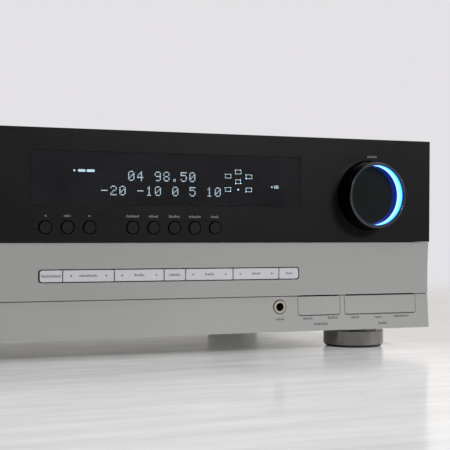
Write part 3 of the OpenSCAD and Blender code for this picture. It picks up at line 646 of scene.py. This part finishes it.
def line_of_dots(text, x0, z0, z1):
    """A line of dot-matrix figures from x0, between the heights z0 and z1."""
    tall = (z1 - z0) / GLYPH_ROWS
    for i, letter in enumerate(text):
        for row, bits in enumerate(GLYPHS[letter]):
            for col, bit in enumerate(bits):
                if bit == "1":
                    x = x0 + i * LETTER_PITCH + col * DOT_PITCH
                    z = z1 - (row + 1) * tall
                    dots.append(lit(x + DOT_MARGIN, x + DOT_PITCH - DOT_MARGIN,
                                    z + DOT_MARGIN, z + tall - DOT_MARGIN))


line_of_dots("04 98.50", -35.5, 129.0, 136.3)
line_of_dots("-20 -10 0 5 10", -56.0, 118.3, 125.4)


def speaker_icon(x0, x1, z):
    """A small outlined box."""
    z0, z1, t = z - 1.6, z + 1.6, 0.32
    dots.extend([lit(x0, x1, z0, z0 + t), lit(x0, x1, z1 - t, z1),
                 lit(x0, x0 + t, z0, z1), lit(x1 - t, x1, z0, z1)])


for x0, x1, z in ((42.2, 47.2, 134), (50.5, 55.5, 137.3), (59.5, 64.7, 133.9), (50.8, 55.2, 130.0),
                  (42.2, 47.0, 124.0), (59.5, 64.5, 124.0)):
    speaker_icon(x0, x1, z)
dots += [lit(-77, -75.6, 135.0, 136.4), lit(-73.5, -68, 134.8, 136.6), lit(-67, -61, 134.8, 136.6),
         lit(81, 82.2, 125.8, 127.0), lit(83.6, 84.3, 125.2, 127.6), lit(85.0, 85.7, 125.2, 127.6),
         lit(86.4, 87.1, 125.2, 127.6), lit(52.4, 53.8, 123.3, 124.7)]
glow = Paint("display_glow", (0.6, 0.8, 0.9), 0.4)
glow.set("Emission Color", (0.66, 0.86, 1.0, 1.0))
glow.feed(glow.spread(glow.noise(300, 1), 19.0, 24.0), "Emission Strength")
join("display_dots", dots, "cabinet", glow)

# ---- Floor, backdrop and light ----
floor_mesh = bpy.data.meshes.new("floor")
bm = bmesh.new()
bmesh.ops.create_grid(bm, x_segments=8, y_segments=8, size=3.0)
bm.to_mesh(floor_mesh)
bm.free()
floor = bpy.data.objects.new("floor", floor_mesh)
scene.collection.objects.link(floor)

# Pale and glossy, lifted a little on the left and in front by a painted glow that stands in for light
# reaching the floor under the cabinet, and fading into the backdrop far behind
ground = Paint("floor", (0.74, 0.74, 0.75), 0.15, spec=0.5)
ground.tinted(0.03, 26, None, (0.16, 1, 1), 5).worn(0.03, 20).specks(120, 0.10, (0.35, 0.34, 0.33), 0.40)
ground.bumped(220, 0.010, 4, (0.15, 1, 1))
# Painted light: the emission below makes the floor itself glow, more on the left and in front and in streaks,
# to stand in for light reaching under the cabinet.
ground.set("Emission Color", (1.0, 0.985, 0.965, 1.0))
across = ground.spread(ground.axis("X"), 1.0, 0.2, 0.16, 0.26, True)
ahead = ground.spread(ground.axis("Y"), 0.15, 0.085, -0.145, -0.13, True)
glow_grain = ground.spread(ground.noise(60, 8, 0.75, (0.12, 1, 1)), 0.45, 1.5)
ground.feed(ground.math("MULTIPLY", ground.math("MULTIPLY", across, ahead), glow_grain), "Emission Strength")
ground.feed(ground.spread(ground.axis("Y"), 1.0, 0.0, 0.25, 0.95, True), "Alpha")
floor_mesh.materials.append(ground.material)

world = bpy.data.worlds.new("studio")
scene.world = world
world.use_nodes = True
tree = world.node_tree
background = tree.nodes["Background"]
direction = tree.nodes.new("ShaderNodeTexCoord")
apart = tree.nodes.new("ShaderNodeSeparateXYZ")
tree.links.new(direction.outputs["Generated"], apart.inputs["Vector"])


def world_range(socket, low, high, start, end):
    made = tree.nodes.new("ShaderNodeMapRange")
    made.interpolation_type = "SMOOTHSTEP"
    tree.links.new(apart.outputs[socket], made.inputs["Value"])
    for key, number in (("From Min", start), ("From Max", end), ("To Min", low), ("To Max", high)):
        made.inputs[key].default_value = number
    return made.outputs["Result"]


def world_math(kind, a, b):
    made = tree.nodes.new("ShaderNodeMath")
    made.operation = kind
    tree.links.new(a, made.inputs[0])
    tree.links.new(b, made.inputs[1])
    return made.outputs[0]


# A pale sweep behind and above, and a darker room on the camera's side
glow_behind = world_range("Y", 0.10, 0.80, -0.15, 0.55)
glow_above = world_range("Z", 0.10, 0.95, 0.30, 0.80)
from_right = world_range("X", 0.03, 1.0, -0.30, 0.35)
around = world_math("MULTIPLY", world_math("MAXIMUM", glow_behind, glow_above), from_right)
wall_right = world_range("X", 0.0, 0.62, 0.42, 0.72)
tree.links.new(world_math("MAXIMUM", around, wall_right), background.inputs["Strength"])
background.inputs["Color"].default_value = (1.0, 0.975, 0.95, 1.0)
seen = tree.nodes.new("ShaderNodeBackground")
seen.inputs["Color"].default_value = (0.775, 0.759, 0.783, 1.0)
path = tree.nodes.new("ShaderNodeLightPath")
choose = tree.nodes.new("ShaderNodeMixShader")
tree.links.new(path.outputs["Is Camera Ray"], choose.inputs["Fac"])
tree.links.new(background.outputs["Background"], choose.inputs[1])
tree.links.new(seen.outputs["Background"], choose.inputs[2])
tree.links.new(choose.outputs["Shader"], tree.nodes["World Output"].inputs["Surface"])


def softbox(name, place, target, size, power, colour=(1, 1, 1)):
    light = bpy.data.lights.new(name, "AREA")
    light.shape = "RECTANGLE"
    light.size, light.size_y = size
    light.energy = power
    light.color = colour
    lamp = bpy.data.objects.new(name, light)
    scene.collection.objects.link(lamp)
    aim = Vector(target) - Vector(place)
    lamp.matrix_world = Matrix.Translation(place) @ aim.to_track_quat("-Z", "Y").to_matrix().to_4x4()


softbox("key_light", (0.75, -1.45, 0.72), (0.05, -0.15, 0.05), (0.45, 0.12), 17.5, (0.97, 0.98, 1.0))
softbox("rim_light", (-0.42, -0.62, 0.62), (0.16, -0.19, 0.12), (0.08, 0.08), 1.2)
